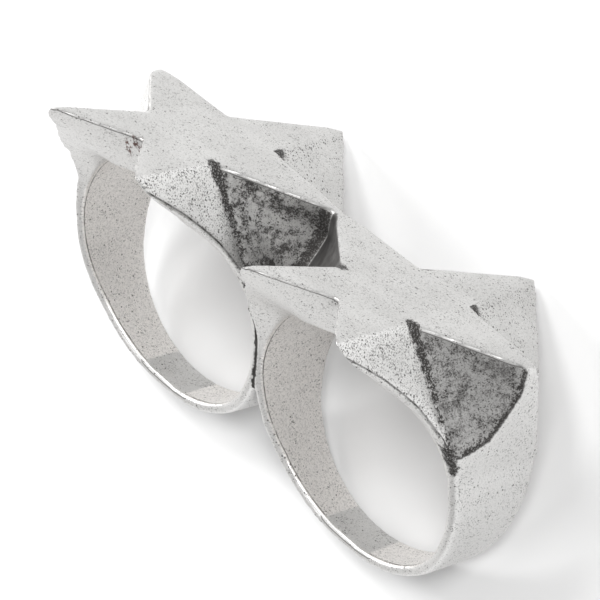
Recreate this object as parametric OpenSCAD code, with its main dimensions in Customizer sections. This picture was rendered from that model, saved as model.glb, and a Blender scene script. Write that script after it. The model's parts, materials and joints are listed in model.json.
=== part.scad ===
// Two-finger knuckle ring: two finger bands side by side, each with a flat five-pointed star head, cast in one piece.
// It is drawn upright and then laid on its far side, as it rests on a table. Units are millimetres.

/* [Size] */

// inside diameter of each finger hole, the whole ring grows and shrinks with it
finger_diameter = 18.5; // [15:0.1:23]
// thickness of the bands when the finger holes are 18.5 mm across
band_wall = 0.85; // [0.6:0.05:1.6]

/* [Look] */

// metal colour
metal = [0.74, 0.74, 0.72];

/* [Hidden] */

$fn = 128;
// everything below is drawn for finger holes of this radius and grows by k
drawn = 9.25;
k = finger_diameter / 2 / drawn;
band = drawn + band_wall;
// from each finger hole to the plane between the two rings, and how far a star head reaches away from that plane
half_pitch = 9.88;
outer_side = 9.5;
// the fine seam left between the two rings
seam = 0.1;
inner_side = half_pitch - seam / 2;

// the top of the star is a plane that drops towards the far tip
function top(y) = 12.49 - 0.1405 * (y + 5.18);
function star(x, y) = [x, y, top(y)];

// right half of the star outline, near to far
leg_tip = star(4.62, -16.7);
legs_notch = star(0, -11.3);
leg_notch = star(3.38, -7.47);
arm_near = star(9.91, -1.35);
arm_far = star(9.91, -0.6);
far_notch = star(2.28, -0.28);
far_tip = star(0, 10.31);

// lower edge of the leg wall from the side of the band up to the tip, [angle round the hole, x, y, z], on the right and
// on the left of a ring. The wall starts at its fourth point.
right_edge = [[0, 10.6, -4.5, 0], [9, 10.4, -4.9, 1.6], [16, 10.2, -5.2, 2.8], [22, 9.91, -5.5, 3.7],
              [28, 9.25, -5.95, 5.1], [34, 8.7, -6.65, 6.3], [40, 7.95, -7.65, 7.4], [47, 7.0, -8.9, 8.7],
              [53, 6.35, -10.3, 9.7], [58, 5.9, -11.95, 10.8], [62, 5.65, -13.6, 11.7], [67, 5.3, -16.0, 13.1]];
left_edge = [[0, 10.6, -4.7, 0], [9, 10.35, -5.5, 1.9], [16, 10.15, -6.4, 3.4], [25, 9.91, -7.5, 5.0],
             [31, 9.6, -8.4, 6.3], [37, 9.1, -9.5, 7.3], [44, 8.3, -10.8, 8.5], [51, 7.3, -12.1, 9.7],
             [57, 6.4, -13.4, 10.8], [61, 5.9, -14.5, 11.8], [64, 5.6, -15.3, 12.5], [67, 5.3, -16.0, 13.1]];
// outer edge of the arm's near wall, from the end of the leg wall up to the arm tip
arm_edge = [[9.91, -5.7, 4.9], [9.91, -4.6, 5.2], [9.91, -2.7, 5.9], [9.91, -1.8, 7.6], [9.91, -1.0, 9.6]];
// lower edge of the far point's wall and where it ends at the side
far_ridge = [[2.45, 7.9, 9.5], [4.6, 6.2, 8.8], [6.3, 4.8, 7.85], [7.75, 3.95, 6.45]];
far_corner = [9.6, 3.1, 3.9];

// near edge of the finger hole, [angle from the right side, y]
hole_edge = [[-90, -0.95], [-65, -1.35], [-45, -2.0], [-20, -3.4], [0, -4.4], [19, -5.2], [29, -5.6], [36, -6.0],
             [42, -6.4], [48, -6.9], [54, -7.5], [59, -8.1], [64, -8.8], [68, -9.2], [78, -9.2], [90, -8.6]];
// far face of the band and of the far point, [y, z]
far_profile = [[-30, -15], [2.65, -15], [2.65, -7.1], [2.7, -3.3], [2.8, -0.1], [3.0, 2.4], [3.25, 4.5], [3.5, 5.5],
               [3.95, 6.6], [4.65, 7.6], [5.9, 8.6], [7.3, 9.25], [9.2, 9.95], [10.4, 10.34], [10.7, 16], [-30, 16]];

function flip(v) = [for (p = v) [-p[0], p[1], p[2]]];
function back(v) = [for (i = [len(v) - 1:-1:0]) v[i]];
function away(from, to, s) = from + s * (to - from);
function floor_of(p, z) = [p[0], p[1], z];
function xyz(p) = [p[1], p[2], p[3]];

// angles at which the near face is drawn
steps = [-90, -81, -72, -63, -54, -45, -36, -27, -18, -9, -1, 4, 8, 12, 15, 18, 21, 24, 27, 31, 35, 38, 42, 46, 50,
         54.5, 57, 60, 63.5, 66, 69.2, 73, 77, 81, 85, 90];
function column(edge, c) = [for (p = edge) [p[0], p[c]]];
// point outside the hole edge where the near face ends, at an angle round the hole
function outer_point(edge, a) =
    a < 0 ? [10.6 * cos(a), lookup(a, hole_edge) - 0.2 * (1 + a / 90), 10.6 * sin(a)] :
    a > 67 ? away(leg_tip, legs_notch, (a - 69) / 21) :
    [for (c = [1:3]) lookup(a, column(edge, c))];

// block in front of which nothing of the ring stands: its near face runs from the hole edge out to the lower edges
module near_block() {
    n = len(steps);
    inner = [for (t = steps) [drawn * cos(t), lookup(t, hole_edge), drawn * sin(t)]];
    r_edge = [for (t = steps) outer_point(right_edge, t)];
    l_edge = flip([for (t = steps) outer_point(left_edge, t)]);
    // rings of points: inside the hole, the hole edge, the lower edges, beyond them, and the back
    e1 = concat(inner, back([for (i = [1:n - 2]) flip(inner)[i]]));
    e2 = concat(r_edge, back([for (i = [1:n - 2]) l_edge[i]]));
    m = len(e1);
    rows = concat([[for (p = e1) [0.6 * p[0], p[1] + 0.3, 0.6 * p[2]]]],
                  [for (r = [-0.15, 0.2, 0.5, 0.8, 1.1, 1.4]) [for (i = [0:m - 1]) away(e1[i], e2[i], r)]]);
    rim = [for (p = rows[6]) [2.2 * p[0], p[1], 2.2 * p[2]]];
    all_rows = concat(rows, [rim, [for (p = rim) [p[0], 14, p[2]]]]);
    h = len(all_rows);
    pts = concat([[0, -4, 0]], [for (r = all_rows) each r], [[0, 14, 0]]);
    last = h * m + 1;
    polyhedron(pts, concat(
        [for (i = [0:m - 1]) [0, 1 + (i + 1) % m, 1 + i]],
        [for (j = [0:h - 2]) for (i = [0:m - 1])
            [1 + j * m + i, 1 + j * m + (i + 1) % m, 1 + (j + 1) * m + i]],
        [for (j = [0:h - 2]) for (i = [0:m - 1])
            [1 + j * m + (i + 1) % m, 1 + (j + 1) * m + (i + 1) % m, 1 + (j + 1) * m + i]],
        [for (i = [0:m - 1]) [last, 1 + (h - 1) * m + i, 1 + (h - 1) * m + (i + 1) % m]]
    ));
}

module far_block() {
    rotate([90, 0, 90]) linear_extrude(height = 30, center = true) polygon(far_profile);
}

// right half of the star walls as a list of points: top outline, lower edges, their feet
function half_star(edge, base) =
    let (low = concat([for (i = [len(edge) - 1:-1:3]) away(leg_notch, xyz(edge[i]), i == 3 ? 1.08 : 1.25)],
                      [for (p = arm_edge) away(leg_notch, p, 1.04)], [away(far_notch, far_corner, 1.1)],
                      [for (p = back(far_ridge)) away(far_notch, p, 1.3)]))
    concat([away(leg_notch, leg_tip, 1.1), leg_notch, away(leg_notch, arm_near, 1.04),
            away(far_notch, arm_far, 1.04), far_notch], low, [for (p = low) floor_of(p, base)],
           [floor_of(away(leg_notch, leg_tip, 1.1), base)]);

// star with its walls, larger than the finished head where the blocks and the sides trim it
module star_walls() {
    base = 0.5;
    r_half = half_star(right_edge, base);
    l_half = flip(half_star(left_edge, base));
    n = len(r_half);
    a = len(right_edge) - 4;
    e = len(arm_edge);
    b = len(far_ridge);
    m = a + e + b + 2;
    c = 5 + a;
    leg_fan = concat([[0, 5, 1]], [for (i = [5:c - 1]) [i, i + 1, 1]]);
    arm_fan = concat([for (i = [c:c + e - 1]) [i, i + 1, 1]], [[c + e, 2, 1]]);
    side_faces = [[2, c + e, 3], [3, c + e, c + e + 1], [3, c + e + 1, 4]];
    tail_fan = [for (i = [c + e + 1:c + e + b]) [i, i + 1, 4]];
    feet = concat([for (i = [5:3 + m]) [i, i + m, i + m + 1, i + 1]], [[0, 5 + 2 * m, 5 + m, 5]]);
    t = 2 * n;
    last = 4 + m;
    right_faces = concat(leg_fan, arm_fan, side_faces, tail_fan,
                         [for (q = feet) each [[q[0], q[1], q[2]], [q[0], q[2], q[3]]]],
                         [[last, t, 4], [last, last + m, t + 1], [last, t + 1, t]]);
    left_faces = [for (q = right_faces) [for (v = back(q)) v >= t ? v : v + n]];
    all = concat(right_faces, left_faces,
        [[0, 1, 2, 3, 4, t, 4 + n, 3 + n, 2 + n, 1 + n, n]],
        [[0, n, 5 + 2 * m + n, 5 + 2 * m]],
        [concat([5 + 2 * m], [5 + 2 * m + n], [for (i = [0:m - 1]) 5 + m + i + n], [t + 1],
                [for (i = [m - 1:-1:0]) 5 + m + i])]);
    polyhedron(concat(r_half, l_half, [far_tip, floor_of(far_tip, base)]), [for (q = all) back(q)]);
}

// left and right are how far the star head may reach on each side
module star_head(left, right) {
    intersection() {
        star_walls();
        translate([-left, -25, 0]) cube([left + right, 45, 20]);
    }
}

// the band up to where the star walls take over
module finger_band() {
    intersection() {
        rotate([90, 0, 0]) cylinder(r = band, h = 60, center = true);
        translate([-20, -20, -20]) cube([40, 40, 24.5]);
    }
}

// the right ring with its hole still filled, cut off at the seam on its left
module right_ring() {
    intersection() {
        near_block();
        far_block();
        translate([-inner_side, -30, -20]) cube([40, 60, 40]);
        union() {
            finger_band();
            star_head(inner_side, outer_side);
        }
    }
}

module left_ring() {
    intersection() {
        near_block();
        far_block();
        translate([inner_side - 40, -30, -20]) cube([40, 60, 40]);
        union() {
            finger_band();
            star_head(outer_side, inner_side);
        }
    }
}

// metal that joins the two rings across the seam, up to the tops of the two arms that meet there, [y, z]
web = [[-1.3, 11.86], [-0.68, 11.8], [-0.35, 10.0], [0.6, 7.6], [2.5, 3.8], [2.4, -1.7], [-3.3, -1.7], [-4.1, 0],
       [-4.9, 3.4], [-4.1, 4.8], [-2.4, 5.6], [-1.45, 7.5], [-0.8, 9.6]];
module joint_web() {
    rotate([90, 0, 90]) linear_extrude(height = 0.7, center = true) polygon(web);
}

// the two rings as one body, resized from the drawn finger size to the wanted one
module both_bodies() {
    resize([2 * k * (half_pitch + band), 0, 0], auto = true) union() {
        translate([-half_pitch, 0, 0]) left_ring();
        translate([half_pitch, 0, 0]) right_ring();
        joint_web();
    }
}

module finger_hole() {
    rotate([90, 0, 0]) cylinder(r = finger_diameter / 2, h = 80 * k, center = true);
}

module upright() {
    difference() {
        both_bodies();
        for (s = [-1, 1]) translate([s * k * half_pitch, 0, 0]) finger_hole();
    }
}

// the ring rests on its two far star tips and on the far rims at the bottom of the bands
rest_far = k * [far_tip[1], far_tip[2]];
rest_low = k * [far_profile[2][0], -band];
lean = atan2(rest_far[1] - rest_low[1], rest_far[0] - rest_low[0]);
// depths and heights once it is laid down
function laid_y(p) = p[0] * cos(lean) + p[1] * sin(lean);
function laid_z(p) = p[1] * cos(lean) - p[0] * sin(lean);
depth = [laid_y(k * [hole_edge[0][1], -band]), laid_y(rest_far)];

// the casting as it lies on a table, standing on z = 0 and centred on the origin
module knuckle_ring() color(metal)
    translate([0, -(depth[0] + depth[1]) / 2, -laid_z(rest_far)]) rotate([-lean, 0, 0]) upright();

knuckle_ring();
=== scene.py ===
"""Two-finger knuckle ring in antiqued silver, laid on its far side on a pale studio floor."""

import json
import math

import bpy
import numpy as np
from mathutils import Matrix, Vector
from mathutils.bvhtree import BVHTree
from mathutils.kdtree import KDTree

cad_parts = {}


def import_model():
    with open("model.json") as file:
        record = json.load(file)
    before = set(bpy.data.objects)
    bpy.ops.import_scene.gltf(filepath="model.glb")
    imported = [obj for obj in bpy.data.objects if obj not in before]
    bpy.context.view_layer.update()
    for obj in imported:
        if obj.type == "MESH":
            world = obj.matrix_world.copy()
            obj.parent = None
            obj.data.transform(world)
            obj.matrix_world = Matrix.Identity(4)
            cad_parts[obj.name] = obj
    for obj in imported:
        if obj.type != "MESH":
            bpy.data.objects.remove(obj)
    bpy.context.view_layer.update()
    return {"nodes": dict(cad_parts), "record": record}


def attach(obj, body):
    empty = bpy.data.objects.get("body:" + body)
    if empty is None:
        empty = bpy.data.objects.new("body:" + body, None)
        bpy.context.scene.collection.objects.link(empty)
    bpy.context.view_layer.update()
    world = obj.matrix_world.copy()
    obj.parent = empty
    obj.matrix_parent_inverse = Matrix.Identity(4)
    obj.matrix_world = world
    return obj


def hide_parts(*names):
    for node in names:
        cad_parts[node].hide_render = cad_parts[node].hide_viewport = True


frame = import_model()

MM = 0.001

# The casting is worked on in millimetres in its own upright frame: x runs across the two finger holes, y
# along them towards the far star tips, and z up through the star heads. The finger holes give that frame,
# and their mounts lie at MOUNT_Y on their axes.
MOUNT_Y = 1.0
mounts = {m["name"]: m for m in frame["record"]["mounts"]}
right_hole = mounts["finger_hole_right"]
HALF_PITCH = right_hole["pos_m"][0] / MM
BORE = right_hole["dims"]["r_mm"]
upright_y = -Vector(mounts["finger_hole_left"]["axis"])
upright_z = Vector((1, 0, 0)).cross(upright_y)
origin = Vector(right_hole["pos_m"]) / MM - Vector((HALF_PITCH, 0, 0)) - MOUNT_Y * upright_y
TO_WORLD = np.array([[1, 0, 0], list(upright_y), list(upright_z)])
ORIGIN = np.array(origin)

# Places in the upright frame, the first three on one ring folded onto its right side: the direction that the
# outer wall of a leg faces, the star's tips, and the notch between the arm and the far point
LEG_WALL = np.array([0.765, 0.19, 0.614])
TIPS = np.array([[4.62, -16.7, 14.1], [9.5, -1.0, 11.9], [0.0, 10.3, 10.3]])
FAR_NOTCH = np.array([2.28, -0.28, 11.8])
# Where the arm's walls end along y, and those of the far point begin
ARM_FAR_END = -0.9
# Top of a patch of brown tool scratches on the near wall of the left ring, how each direction counts in its
# outline, and how steeply the scratches run
SCRATCHES = np.array([-10.0, -10.9, 12.2])
SCRATCHED_SHAPE = np.array([1, 1, 0.6])
SCRATCH_SLOPE = 0.7

# Spacing of the worked mesh, and about how many triangles are kept of it
VOXEL = 0.15
TRIANGLES = 190_000
# Rounds of smoothing that wear the edges, the tips, the near walls and their outline
WORN_EDGES = 12
WORN_TIPS = 50
SOFT_WALLS = 150
WORN_OUTLINE = 30
# Distances over which the wear of tips, outline and near walls grows from none to full
TIP_RANGE = (2.2, 0.6)
OUTLINE_RANGE = (1.1, 0.4)
SOFT_RANGE = (0.25, 1.0)
# How far along and beside it the outline of the near walls is evened, and where that ends towards the seam
EVEN_REACH = 4.0
EVEN_WIDTH = 1.5
EVEN_FROM_SEAM = (0.5, 1.5)
# Spacing of the points that stand for the edges between kinds of face, and of those that are evened
EDGE_SPACING = 0.05
OUTLINE_SPACING = 0.15
# Rounds of smoothing that a point is compared with, and how far off it is where an edge or hollow shows
BEND_ROUNDS = 12
BEND_RANGE = (0.02, 0.07)
# A point this near the finger hole's radius lies on its facets
ON_BORE = 0.012
# The seam's faces lie within SEAM_HALF of the middle between the rings. To close it they are moved past each
# other, by that share of their own distance, and the mesh isn't drawn back onto them there.
SEAM_HALF = 0.06
SEAM_OVERLAP = 0.6
SEAM_RANGE = (0.5, 0.3)
# Depth of the groove that is left in the seam, and where it ends sideways and upwards
GROOVE = 0.12
GROOVE_RANGE = (0.3, 0.05)
GROOVE_TOP = (8.0, 6.5)
# Where the seam's dark line ends upwards
LINE_TOP = (7.5, 6.0)

# Kinds of face: walls of the finger holes, flat tops of the stars, walls of the legs, mottled walls of the
# arms on a ring's right side, the smooth one on the right ring's left side, walls of the far point, walls
# that face the near side, and the rest
BORE_FACE, TOP, LEG, ARM, SMOOTH_ARM, TAIL, NEAR, OTHER = range(8)
OUTER_WALLS = [LEG, ARM, SMOOTH_ARM, TAIL, OTHER]
# Least cosine between a flat face's normal and the direction that tells its kind
FACING = 0.97

# What the material reads at each point, three values to an attribute. The zones, and flank with them, are
# shares from 0 to 1. So are edge and hollow, which say how the surface bends there, and low, which is 1 below
# the heads. Crest, crease, ridge, rim and skirt are distances in millimetres from the edges between two kinds
# of face, notch and scratched those from a place, and hatch is where a point lies across the scratches.
ATTRIBUTES = {
    "zones": ("arm_wall", "leg_wall", "inside"),
    "more_zones": ("tail_wall", "smooth_arm", "near_wall"),
    "relief": ("edge", "hollow", "crest"),
    "lines": ("crease", "ridge", "rim"),
    "places": ("skirt", "notch", "low"),
    "marks": ("flank", "scratched", "hatch"),
}
ZONES = {
    "arm_wall": ARM,
    "leg_wall": LEG,
    "inside": BORE_FACE,
    "tail_wall": TAIL,
    "smooth_arm": SMOOTH_ARM,
    "near_wall": NEAR,
    "flank": OTHER,
}

# Bare silver, from dull to light on the tops and lighter by zone elsewhere as painted light, and what lies on
# it
DULL_SILVER = (0.555, 0.55, 0.54, 1)
LIGHT_SILVER = (0.61, 0.605, 0.595, 1)
# Painted light: lighter copies of the one silver for the finger holes, leg walls, flanks and near walls
INSIDE_PAINTED_LIGHT_SILVER = (0.86, 0.835, 0.81, 1)
LEG_PAINTED_LIGHT_SILVER = (0.76, 0.755, 0.745, 1)
FLANK_PAINTED_LIGHT_SILVER = (0.74, 0.735, 0.725, 1)
NEAR_PAINTED_LIGHT_SILVER = (0.655, 0.648, 0.637, 1)
SCRATCH_BROWN = (0.13, 0.075, 0.065, 1)
# Dark patina, also the colour of painted shade and of painted reflections along rounded edges
DARK_PATINA_AND_SHADE = (0.05, 0.047, 0.045, 1)
METALLIC = 0.9
BUMP_HEIGHT = 0.04 * MM

FLOOR_HALF = 1.5
FLOOR_GREY = (0.62, 0.62, 0.62, 1)
SKY_GREY = (0.66, 0.66, 0.66, 1)

# Round lights of one size and distance, in metres: azimuth, elevation and power of each
LIGHT_SIZE = 0.2
LIGHT_DISTANCE = 0.6
LIGHT_TARGET = Vector((0, 0, 0.008))
LIGHTS = {
    "key": (135, 50, 1.7),
    "low": (180, 26, 2.6),
    "front": (40, 60, 2.1),
    "side": (245, 55, 0.35),
}

# The photograph's angle in world coordinates, the camera's distance from the upright frame's origin, and how
# far aside of it and above it the camera aims, in millimetres
CAMERA_TOWARDS = Vector((0.5096, 0.2329, 0.8283))
CAMERA_UP = Vector((-0.5519, 0.8270, 0.1071))
CAMERA_DISTANCE = 237.73
AIM_ASIDE = 0.064
AIM_ABOVE = 3.394
LENS = 203.94
SENSOR = 36


def upright(points):
    """World points in metres, given in the upright frame in millimetres."""
    return (np.asarray(points) / MM - ORIGIN) @ TO_WORLD.T


def world(points):
    """The way back from the upright frame."""
    return (np.asarray(points) @ TO_WORLD + ORIGIN) * MM


def unit(v):
    return v / np.linalg.norm(v)


def lengths(vectors):
    return np.linalg.norm(vectors, axis=1)


def step(low, high, values):
    """A smooth step from 0 to 1 as the values go from low to high, which may be the larger first."""
    t = np.clip((values - low) / (high - low), 0, 1)
    return t * t * (3 - 2 * t)


def folded(points):
    """Points with x counted from their own ring's axis and made positive, and the sign that x had."""
    side = np.where(points[:, 0] < 0, -1.0, 1.0)
    local = points.copy()
    local[:, 0] -= side * HALF_PITCH
    mirror = np.where(local[:, 0] < 0, -1.0, 1.0)
    local[:, 0] *= mirror
    return local, mirror


def cad_mesh():
    """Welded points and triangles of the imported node, in the upright frame."""
    mesh = frame["nodes"]["knuckle_ring"].data
    mesh.calc_loop_triangles()
    points = upright(read_points(mesh, "co"))
    faces = np.empty(len(mesh.loop_triangles) * 3, dtype=np.int32)
    mesh.loop_triangles.foreach_get("vertices", faces)
    _, first, same = np.unique(np.round(points, 4), axis=0, return_index=True, return_inverse=True)
    return points[first], same.ravel()[faces.reshape(-1, 3)]


def face_kinds(points, faces):
    """Which kind each triangle is of. The first test that it meets decides."""
    corners = points[faces]
    normals = np.cross(corners[:, 1] - corners[:, 0], corners[:, 2] - corners[:, 0])
    normals /= np.maximum(lengths(normals)[:, None], 1e-9)
    middles = corners.mean(axis=1)
    local, mirror = folded(middles)
    normals[:, 0] *= mirror
    nx, ny, nz = normals.T
    y, z = local.T[1:]
    radius = np.hypot(local[:, 0], z)
    slanting = (nx > 0.3) & (nx < 0.95) & (nz > -0.2) & (radius > BORE + 1)
    on_arm = slanting & (y < ARM_FAR_END)
    beside_crease = (ny < -0.9) & (y > -7.5) & (z > 4.5) & (radius > BORE + 1.2)
    tests = [
        (TOP, nz > FACING),
        (BORE_FACE, radius < BORE + 0.03),
        (LEG, normals @ unit(LEG_WALL) > FACING),
        (LEG, on_arm & (ny > 0.3)),
        (ARM, (on_arm | beside_crease) & (mirror > 0)),
        (SMOOTH_ARM, (on_arm | beside_crease) & (middles[:, 0] > 0)),
        (TAIL, slanting & (y > ARM_FAR_END)),
        (NEAR, ny < -0.3),
    ]
    kinds = np.full(len(faces), OTHER)
    for kind, hit in reversed(tests):
        kinds[hit] = kind
    return kinds


def tree_of(places):
    tree = KDTree(len(places))
    for index, place in enumerate(places):
        tree.insert(place, index)
    tree.balance()
    return tree


def distance(tree, points):
    return np.array([tree.find(p)[2] for p in points.tolist()])


def border_points(points, faces, kinds, first, second, spacing=EDGE_SPACING):
    """Points along the edges where a face of the first kinds meets one of the second kinds."""
    edges = np.sort(np.concatenate([faces[:, [0, 1]], faces[:, [1, 2]], faces[:, [2, 0]]]), axis=1)
    order = np.lexsort((edges[:, 1], edges[:, 0]))
    edges = edges[order]
    edge_kinds = np.tile(kinds, 3)[order]
    pair = np.all(edges[1:] == edges[:-1], axis=1)
    a = edge_kinds[:-1][pair]
    b = edge_kinds[1:][pair]
    hit = (np.isin(a, first) & np.isin(b, second)) | (np.isin(a, second) & np.isin(b, first))
    found = edges[:-1][pair][hit]
    places = []
    for start, end in zip(points[found[:, 0]], points[found[:, 1]]):
        count = max(2, int(np.linalg.norm(end - start) / spacing) + 1)
        places.extend(start + (end - start) * t for t in np.linspace(0, 1, count))
    return np.array(places)


def border(points, faces, kinds, first, second):
    return tree_of(border_points(points, faces, kinds, first, second))


def evened(places, points):
    """The points, moved near a line of places so that it runs evenly, without its small steps."""
    moves = np.zeros_like(places)
    half = np.floor(places[:, 0] / HALF_PITCH)
    for side in np.unique(half):
        own = np.flatnonzero(half == side)
        line = places[own]
        tree = tree_of(line)
        for index, place in zip(own, line):
            near = line[[hit[1] for hit in tree.find_range(place, EVEN_REACH)]] - place
            along = np.linalg.svd(near - near.mean(axis=0), full_matrices=False)[2][0]
            t = near @ along
            off = near - np.outer(t, along)
            curve = np.stack([np.ones_like(t), t, t * t], axis=1)
            moves[index] = np.linalg.lstsq(curve, off, rcond=None)[0][0]
    # the lines of the two rings run together at the seam, and stay as they are there
    moves *= step(*EVEN_FROM_SEAM, np.abs(places[:, 0]))[:, None]
    tree = tree_of(places)
    found = [tree.find(p) for p in points.tolist()]
    move = moves[np.array([f[1] for f in found])]
    return points + move * step(EVEN_WIDTH, 0.0, np.array([f[2] for f in found]))[:, None]


def with_modifier(mesh, kind, **settings):
    """The mesh as that modifier leaves it. The mesh itself is removed."""
    thing = bpy.data.objects.new(mesh.name, mesh)
    bpy.context.scene.collection.objects.link(thing)
    modifier = thing.modifiers.new(kind, kind)
    for key, value in settings.items():
        setattr(modifier, key, value)
    result = bpy.data.meshes.new_from_object(thing.evaluated_get(bpy.context.evaluated_depsgraph_get()))
    bpy.data.objects.remove(thing)
    bpy.data.meshes.remove(mesh)
    return result


def remeshed(points, faces):
    """An even mesh of about one point every VOXEL, with the fine seam between the two rings closed."""
    closed = points.copy()
    seam = np.abs(closed[:, 0]) < SEAM_HALF
    closed[seam, 0] *= -SEAM_OVERLAP
    mesh = bpy.data.meshes.new("cad_copy")
    mesh.from_pydata(closed.tolist(), [], faces.tolist())
    return with_modifier(mesh, "REMESH", mode="VOXEL", voxel_size=VOXEL)


def lighter(mesh):
    """The same surface with about TRIANGLES triangles, fewest where it is flat."""
    count = sum(len(p.vertices) - 2 for p in mesh.polygons)
    return with_modifier(mesh, "DECIMATE", ratio=min(1.0, TRIANGLES / count))


class Smoother:
    """Moves each point towards the middle of its neighbours."""

    def __init__(self, mesh):
        pairs = np.empty(len(mesh.edges) * 2, dtype=np.int64)
        mesh.edges.foreach_get("vertices", pairs)
        pairs = pairs.reshape(-1, 2)
        self.count = len(mesh.vertices)
        self.a = np.concatenate([pairs[:, 0], pairs[:, 1]])
        self.b = np.concatenate([pairs[:, 1], pairs[:, 0]])
        self.degree = np.bincount(self.a, minlength=self.count)

    def mean(self, values):
        columns = [np.bincount(self.a, weights=c[self.b], minlength=self.count) for c in values.T]
        return np.stack(columns, axis=1) / self.degree[:, None]

    def run(self, values, rounds, share=1.0):
        """That many rounds, each of which goes halfway, or that share of it."""
        for _ in range(rounds):
            values = values + 0.5 * share * (self.mean(values) - values)
        return values


def read_points(mesh, what):
    values = np.empty(len(mesh.vertices) * 3)
    mesh.vertices.foreach_get(what, values)
    return values.reshape(-1, 3)


def write_points(mesh, points):
    mesh.vertices.foreach_set("co", points.ravel())
    mesh.update()


def nearest_on(points, faces, places):
    """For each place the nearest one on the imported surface, and the triangle that it is on."""
    tree = BVHTree.FromPolygons(points.tolist(), faces.tolist())
    found = [tree.find_nearest(p) for p in places.tolist()]
    return np.array([f[0] for f in found]), np.array([f[2] for f in found])


def on_surface(even, nearest):
    """The nearest places, but for the closed seam, with those of the finger holes on their true radius."""
    near_seam = step(*SEAM_RANGE, np.abs(even[:, 0]))[:, None]
    moved = even * near_seam + nearest * (1 - near_seam)
    local, mirror = folded(moved)
    radius = np.hypot(local[:, 0], local[:, 2])
    grow = np.where(np.abs(radius - BORE) < ON_BORE, BORE / radius - 1, 0.0)
    moved[:, 0] += mirror * local[:, 0] * grow
    moved[:, 2] += local[:, 2] * grow
    return moved


def worn_mesh(points, faces, kinds):
    """An even mesh of the casting with its edges and tips worn round, in the upright frame."""
    near_outline = border_points(points, faces, kinds, [NEAR], OUTER_WALLS, OUTLINE_SPACING)
    around_near = border(points, faces, kinds, [NEAR], OUTER_WALLS + [TOP, BORE_FACE])
    mesh = remeshed(points, faces)
    smooth = Smoother(mesh)
    even = read_points(mesh, "co")
    nearest, on_face = nearest_on(points, faces, even)
    even = on_surface(even, nearest)

    # edges are worn round, the tips more, and the near walls run smoothly from border to border
    shaped = evened(near_outline, even)
    shaped = smooth.run(shaped, WORN_EDGES)
    at_tips = np.min([lengths(folded(even)[0] - tip) for tip in TIPS], axis=0)
    shaped = smooth.run(shaped, WORN_TIPS, step(*TIP_RANGE, at_tips)[:, None])
    free = (kinds[on_face] == NEAR) * step(*SOFT_RANGE, distance(around_near, even))
    shaped = smooth.run(shaped, SOFT_WALLS, smooth.run(free[:, None], 2))
    along_outline = distance(tree_of(near_outline), even)
    shaped = smooth.run(shaped, WORN_OUTLINE, step(*OUTLINE_RANGE, along_outline)[:, None])

    # a fine groove where the bands of the two rings meet, on faces that look to the near side
    ny = read_points(mesh, "normal")[:, 1]
    in_seam = step(*GROOVE_RANGE, np.abs(even[:, 0])) * step(-0.4, -0.8, ny)
    in_seam *= step(*GROOVE_TOP, even[:, 2])
    shaped[:, 1] += GROOVE * in_seam
    write_points(mesh, shaped)
    return lighter(mesh)


def casting_mesh():
    """The cast ring with worn, rounded edges, and what its material needs to know at each point."""
    points, faces = cad_mesh()
    kinds = face_kinds(points, faces)
    borders = {
        "rim": ([BORE_FACE], [NEAR]),
        "crest": ([TOP], OUTER_WALLS + [NEAR]),
        "crease": ([LEG], [ARM, SMOOTH_ARM]),
        "ridge": ([LEG], [NEAR, OTHER]),
        "skirt": ([ARM], [NEAR, OTHER, TAIL, SMOOTH_ARM]),
    }
    mesh = worn_mesh(points, faces, kinds)
    smooth = Smoother(mesh)
    shaped = read_points(mesh, "co")
    kind = kinds[nearest_on(points, faces, shaped)[1]]
    off = shaped - smooth.run(shaped, BEND_ROUNDS)
    bend = np.einsum("ij,ij->i", off, read_points(mesh, "normal"))
    bend = smooth.run(bend[:, None], 2)[:, 0]

    known = {name: distance(border(points, faces, kinds, *pair), shaped) for name, pair in borders.items()}
    for name, zone in ZONES.items():
        known[name] = smooth.run((kind == zone).astype(float)[:, None], 1)[:, 0]
    known["edge"] = step(*BEND_RANGE, bend)
    known["hollow"] = step(*BEND_RANGE, -bend)
    known["notch"] = lengths(folded(shaped)[0] - FAR_NOTCH)
    known["low"] = step(*LINE_TOP, shaped[:, 2])
    known["scratched"] = lengths((shaped - SCRATCHES) * SCRATCHED_SHAPE)
    known["hatch"] = shaped[:, 1] + SCRATCH_SLOPE * shaped[:, 2]
    for name, columns in ATTRIBUTES.items():
        values = np.stack([known[column] for column in columns], axis=1).astype(np.float32)
        mesh.attributes.new(name, "FLOAT_VECTOR", "POINT").data.foreach_set("vector", values.ravel())
    write_points(mesh, world(shaped))
    for polygon in mesh.polygons:
        polygon.use_smooth = True
    return mesh


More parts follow.
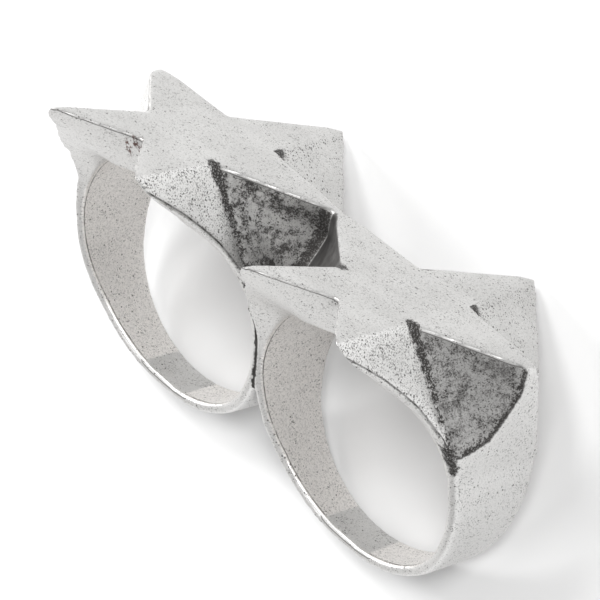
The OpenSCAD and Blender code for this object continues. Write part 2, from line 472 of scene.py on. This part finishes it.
class Nodes:
    """Short calls for making shader nodes and linking them."""

    def __init__(self, tree):
        self.tree = tree

    def add(self, kind, inputs=(), **settings):
        node = self.tree.nodes.new(kind)
        for key, value in settings.items():
            setattr(node, key, value)
        for key, value in dict(inputs).items():
            if isinstance(value, bpy.types.NodeSocket):
                self.tree.links.new(value, node.inputs[key])
            else:
                node.inputs[key].default_value = value
        return node

    def math(self, operation, a, b=0.0):
        return self.add("ShaderNodeMath", {0: a, 1: b}, operation=operation).outputs[0]

    def chain(self, operation, values):
        result = values[0]
        for value in values[1:]:
            result = self.math(operation, result, value)
        return result

    def plus(self, *values):
        return self.chain("ADD", values)

    def minus(self, a, b):
        return self.math("SUBTRACT", a, b)

    def times(self, *values):
        return self.chain("MULTIPLY", values)

    def most(self, *values):
        return self.chain("MAXIMUM", values)

    def ramp(self, value, low, high, start=0.0, end=1.0):
        """A smooth step from start to end as value goes from low to high."""
        if low > high:
            low, high, start, end = high, low, end, start
        inputs = {"Value": value, "From Min": low, "From Max": high, "To Min": start, "To Max": end}
        return self.add("ShaderNodeMapRange", inputs, interpolation_type="SMOOTHSTEP").outputs["Result"]

    def line(self, distance, middle, half, soft):
        """One at that distance, and nothing more than half away from it."""
        off = self.math("ABSOLUTE", self.minus(distance, middle))
        return self.ramp(off, half + soft, half)

    def mix(self, factor, a, b):
        return self.add("ShaderNodeMix", {0: factor, 6: a, 7: b}, data_type="RGBA").outputs[2]

    def split(self, vector):
        return self.add("ShaderNodeSeparateXYZ", {0: vector}).outputs


class Silver(Nodes):
    """Nodes of the antiqued silver. Each share it returns is 0 for clean metal and 1 for the full mark."""

    def __init__(self, tree):
        super().__init__(tree)
        place = self.add("ShaderNodeTexCoord").outputs["Object"]
        self.mm = self.add("ShaderNodeVectorMath", {0: place, "Scale": 1 / MM}, operation="SCALE").outputs[0]
        for name, columns in ATTRIBUTES.items():
            vector = self.add("ShaderNodeAttribute", attribute_name=name).outputs["Vector"]
            for column, output in zip(columns, self.split(vector)):
                setattr(self, column, output)
        self.across = self.split(self.mm)[0]
        self.left_ring = self.math("LESS_THAN", self.across, 0.0)
        self.fine = self.noise(9.0, 2.0, 0.6)
        self.grain = self.noise(4.5, 3.0, 0.65)
        self.coarse = self.noise(1.9, 4.0, 0.62)
        self.cloud = self.noise(0.75, 4.0, 0.6)
        self.wide = self.noise(0.25, 3.0, 0.55)
        # added to a distance, makes its border ragged
        self.ragged = self.plus(self.times(self.coarse, 0.8), self.times(self.grain, 0.9))

    def noise(self, scale, detail, roughness):
        inputs = {"Vector": self.mm, "Scale": scale, "Detail": detail, "Roughness": roughness}
        return self.add("ShaderNodeTexNoise", inputs).outputs["Fac"]

    def specks(self, scale, share, shift):
        """Small round dots: one in each cell of about 1 / scale millimetres, in that share of the cells."""
        moved = self.add("ShaderNodeVectorMath", {0: self.mm, 1: shift}, operation="ADD").outputs[0]
        cells = self.add("ShaderNodeTexVoronoi", {"Vector": moved, "Scale": scale, "Randomness": 1.0})
        pick = self.add("ShaderNodeSeparateColor", {0: cells.outputs["Color"]}).outputs
        chosen = self.math("LESS_THAN", pick[0], share)
        size = self.ramp(pick[1], 0.0, 1.0, 0.16, 0.38)
        inside = self.minus(size, cells.outputs["Distance"])
        return self.times(chosen, self.ramp(inside, 0.0, 0.08))

    def pits(self):
        """Dark pits in patches, more of them on leg walls, near the far notch and along the tops' edges."""
        patches = self.ramp(self.cloud, 0.35, 0.65, 0.03, 0.2)
        on_legs = self.times(self.leg_wall, self.ramp(self.coarse, 0.3, 0.7, 0.3, 0.7))
        by_notch = self.times(self.tail_wall, self.ramp(self.notch, 5.0, 1.5, 0.05, 0.6))
        band = self.times(self.ramp(self.crest, 0.75, 0.45), self.ramp(self.crest, 0.15, 0.3))
        by_crest = self.times(band, self.most(self.leg_wall, self.tail_wall), 0.6)
        share = self.plus(patches, on_legs, by_notch, by_crest)
        return self.most(self.specks(4.5, share, (0, 0, 0)), self.specks(7.0, share, (7.3, 2.1, 5.7)))

    def dust(self):
        """Fine dark dust in patches, and a faint veil all over, which is denser inside the finger holes."""
        level = self.minus(self.ramp(self.cloud, 0.3, 0.7, 0.60, 0.52), self.times(self.leg_wall, 0.05))
        dust = self.ramp(self.minus(self.fine, level), 0.0, 0.09)
        dust = self.times(dust, self.ramp(self.noise(3.1, 2.0, 0.5), 0.35, 0.6, 0.15, 0.6))
        veil = self.ramp(self.fine, 0.4, 0.62, 0.0, 0.13)
        inside = self.times(self.inside, self.ramp(self.grain, 0.45, 0.65, 0.0, 0.16))
        return self.most(dust, self.plus(veil, inside))

    def arm_patina_and_shade(self):
        """Mottled patina and painted shade on the arm walls, darkest at their lower border, with a light lip
        along the top that is partly worn and partly a painted highlight.
        """
        blotch = self.plus(self.times(self.cloud, 0.6), self.times(self.coarse, 0.4))
        mottle = self.plus(self.times(blotch, 0.75), self.times(self.grain, 0.25))
        contrast = self.plus(0.3, self.times(self.left_ring, 0.26))
        dark = self.plus(self.times(self.ramp(mottle, 0.56, 0.41, -0.5, 0.5), contrast), 0.58)
        salt = self.times(self.ramp(self.fine, 0.5, 0.66), self.ramp(self.coarse, 0.35, 0.6, 0.1, 0.4))
        pepper = self.times(self.ramp(self.fine, 0.48, 0.38), self.ramp(self.coarse, 0.6, 0.4, 0.15, 0.5))
        dark = self.most(self.minus(dark, salt), self.plus(self.times(dark, 0.8), pepper))
        reach = self.plus(1.5, self.times(self.left_ring, 0.5))
        by_skirt = self.ramp(self.minus(reach, self.plus(self.skirt, self.ragged)), -0.1, 0.4)
        dark = self.most(dark, self.times(by_skirt, self.ramp(self.fine, 0.65, 0.45, 0.7, 0.97)))
        # near the top edge the dark is lifted into a light lip, partly worn and partly a painted highlight of
        # the rounded edge
        return self.times(self.arm_wall, dark, self.ramp(self.crest, 0.3, 0.4, 0.12, 1.0))

    def patina(self):
        """Dark patina in creases and hollows, worn off the edges, with painted shade mixed into the arm
        walls' patina, over the smooth arm wall and at the far notch.
        """
        # painted shade: the smooth arm wall darkened as a wall that lies in shade
        painted_shade_strip = self.times(self.smooth_arm, self.ramp(self.cloud, 0.3, 0.7, 0.85, 0.72))
        by_crease = self.ramp(self.plus(self.crease, self.ragged), 1.5, 1.12)
        creased = self.times(by_crease, self.ramp(self.fine, 0.68, 0.45, 0.55, 0.97))
        # painted shade: a dark spot on the walls at the far notch
        by_notch = self.ramp(self.plus(self.notch, self.times(self.coarse, 1.6)), 2.35, 1.7)
        by_notch = self.times(by_notch, self.ramp(self.tail_wall, 0.4, 0.8))
        corner = self.times(by_notch, self.ramp(self.fine, 0.65, 0.45, 0.6, 0.95))
        hollow = self.times(self.hollow, self.ramp(self.grain, 0.7, 0.4, 0.6, 1.0))
        stained_and_shaded = self.most(self.arm_patina_and_shade(), painted_shade_strip, creased, corner, hollow)
        worn = self.times(self.edge, self.ramp(self.grain, 0.3, 0.6, 0.6, 1.0))
        worn = self.times(worn, self.ramp(self.crease, 0.2, 0.5))
        return self.ramp(self.minus(stained_and_shaded, worn), 0.0, 1.0)

    def reflection_and_seam_lines(self):
        """Thin dark lines beside the legs' ridges, the holes' rims and the tops' edges, painted reflections
        of those rounded edges, and in the seam, a dark joint.
        """
        # painted reflections: a dark band just inside the legs' ridges, the holes' rims and the tops' edges
        ridge = self.times(self.line(self.ridge, 0.42, 0.02, 0.07), self.leg_wall)
        ridge = self.times(ridge, self.ramp(self.coarse, 0.35, 0.6, 1.0, 0.6))
        rim = self.times(self.line(self.rim, 0.33, 0.02, 0.05), self.inside)
        rim = self.times(rim, self.ramp(self.coarse, 0.3, 0.6, 0.35, 0.85))
        crest = self.times(self.line(self.crest, 0.33, 0.02, 0.05), self.most(self.near_wall, self.arm_wall))
        width = self.ramp(self.coarse, 0.35, 0.65, 0.06, 0.22)
        seam = self.ramp(self.minus(self.math("ABSOLUTE", self.across), width), 0.08, 0.0)
        return self.most(ridge, rim, self.times(crest, 0.75), self.times(seam, self.low))

    def scratches(self):
        """A small patch of slanting tool scratches."""
        wave = self.plus(self.times(self.hatch, 14.0), self.times(self.coarse, 7.0))
        strokes = self.ramp(self.math("SINE", wave), 0.1, 0.6)
        strokes = self.times(strokes, self.ramp(self.grain, 0.4, 0.55), self.near_wall)
        return self.times(strokes, self.ramp(self.plus(self.scratched, self.coarse), 2.0, 1.6))

    def bare(self):
        """Colour of the metal without patina, pits and dust, with painted light: lighter copies of it inside
        the finger holes and on the legs, flanks and near walls.
        """
        colour = self.mix(self.ramp(self.wide, 0.35, 0.65), DULL_SILVER, LIGHT_SILVER)
        # painted light: lighter copies of the silver inside the holes and on the legs, flanks and near walls
        colour = self.mix(self.times(self.inside, 0.9), colour, INSIDE_PAINTED_LIGHT_SILVER)
        colour = self.mix(self.leg_wall, colour, LEG_PAINTED_LIGHT_SILVER)
        colour = self.mix(self.flank, colour, FLANK_PAINTED_LIGHT_SILVER)
        colour = self.mix(self.near_wall, colour, NEAR_PAINTED_LIGHT_SILVER)
        return self.mix(self.scratches(), colour, SCRATCH_BROWN)


def silver_material():
    material = bpy.data.materials.new("antiqued_silver")
    material.use_nodes = True
    material.node_tree.nodes.clear()
    n = Silver(material.node_tree)
    pits = n.pits()
    # the dark colour takes patina, pits and dust, and also painted shade and painted reflections
    dark = n.most(n.patina(), n.reflection_and_seam_lines(), n.times(pits, 0.85), n.dust())
    height = n.minus(n.times(n.grain, 0.3), pits)
    bump = n.add("ShaderNodeBump", {"Height": height, "Strength": 0.5, "Distance": BUMP_HEIGHT})
    inputs = {
        "Base Color": n.mix(dark, n.bare(), DARK_PATINA_AND_SHADE),
        "Roughness": n.ramp(dark, 0.0, 1.0, 0.4, 0.6),
        "Metallic": METALLIC,
        "Normal": bump.outputs[0],
    }
    shader = n.add("ShaderNodeBsdfPrincipled", inputs)
    n.add("ShaderNodeOutputMaterial", {"Surface": shader.outputs[0]})
    return material


def casting():
    ring = bpy.data.objects.new("ring_casting", casting_mesh())
    bpy.context.scene.collection.objects.link(ring)
    ring.data.materials.append(silver_material())
    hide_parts("knuckle_ring")
    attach(ring, "root")


def studio_floor():
    mesh = bpy.data.meshes.new("studio_floor")
    signs = [(-1, -1), (1, -1), (1, 1), (-1, 1)]
    corners = [(x * FLOOR_HALF, y * FLOOR_HALF, 0) for x, y in signs]
    mesh.from_pydata(corners, [], [(0, 1, 2, 3)])
    floor = bpy.data.objects.new("studio_floor", mesh)
    bpy.context.scene.collection.objects.link(floor)
    material = bpy.data.materials.new("studio_floor")
    material.use_nodes = True
    shader = material.node_tree.nodes["Principled BSDF"]
    shader.inputs["Base Color"].default_value = FLOOR_GREY
    shader.inputs["Roughness"].default_value = 0.9
    shader.inputs["Specular IOR Level"].default_value = 0.1
    mesh.materials.append(material)


def compass(azimuth, elevation):
    """Direction with its azimuth counted from +X towards +Y, in degrees."""
    a = math.radians(azimuth)
    e = math.radians(elevation)
    return Vector((math.cos(a) * math.cos(e), math.sin(a) * math.cos(e), math.sin(e)))


def lights():
    for name, (azimuth, elevation, power) in LIGHTS.items():
        place = LIGHT_DISTANCE * compass(azimuth, elevation)
        data = bpy.data.lights.new(name, "AREA")
        data.shape = "DISK"
        data.size = LIGHT_SIZE
        data.energy = power
        lamp = bpy.data.objects.new(name, data)
        lamp.location = place
        lamp.rotation_euler = (LIGHT_TARGET - place).to_track_quat("-Z", "Y").to_euler()
        bpy.context.scene.collection.objects.link(lamp)
    sky = bpy.data.worlds.new("studio")
    sky.use_nodes = True
    back = sky.node_tree.nodes["Background"]
    back.inputs["Color"].default_value = SKY_GREY
    back.inputs["Strength"].default_value = 1.0
    bpy.context.scene.world = sky


def camera():
    """The camera that sees the ring as the photograph does."""
    place = origin + CAMERA_DISTANCE * CAMERA_TOWARDS
    target = origin + AIM_ASIDE * CAMERA_UP.cross(CAMERA_TOWARDS) + AIM_ABOVE * CAMERA_UP
    back = (place - target).normalized()
    right = CAMERA_UP.cross(back).normalized()
    data = bpy.data.cameras.new("camera")
    data.lens = LENS
    data.sensor_width = SENSOR
    data.clip_start = 0.01
    cam = bpy.data.objects.new("camera", data)
    turn = Matrix((right, back.cross(right), back)).transposed().to_4x4()
    cam.matrix_world = Matrix.Translation(place * MM) @ turn
    bpy.context.scene.collection.objects.link(cam)
    bpy.context.scene.camera = cam


camera()
casting()
studio_floor()
lights()
bpy.context.scene.view_settings.view_transform = "Standard"
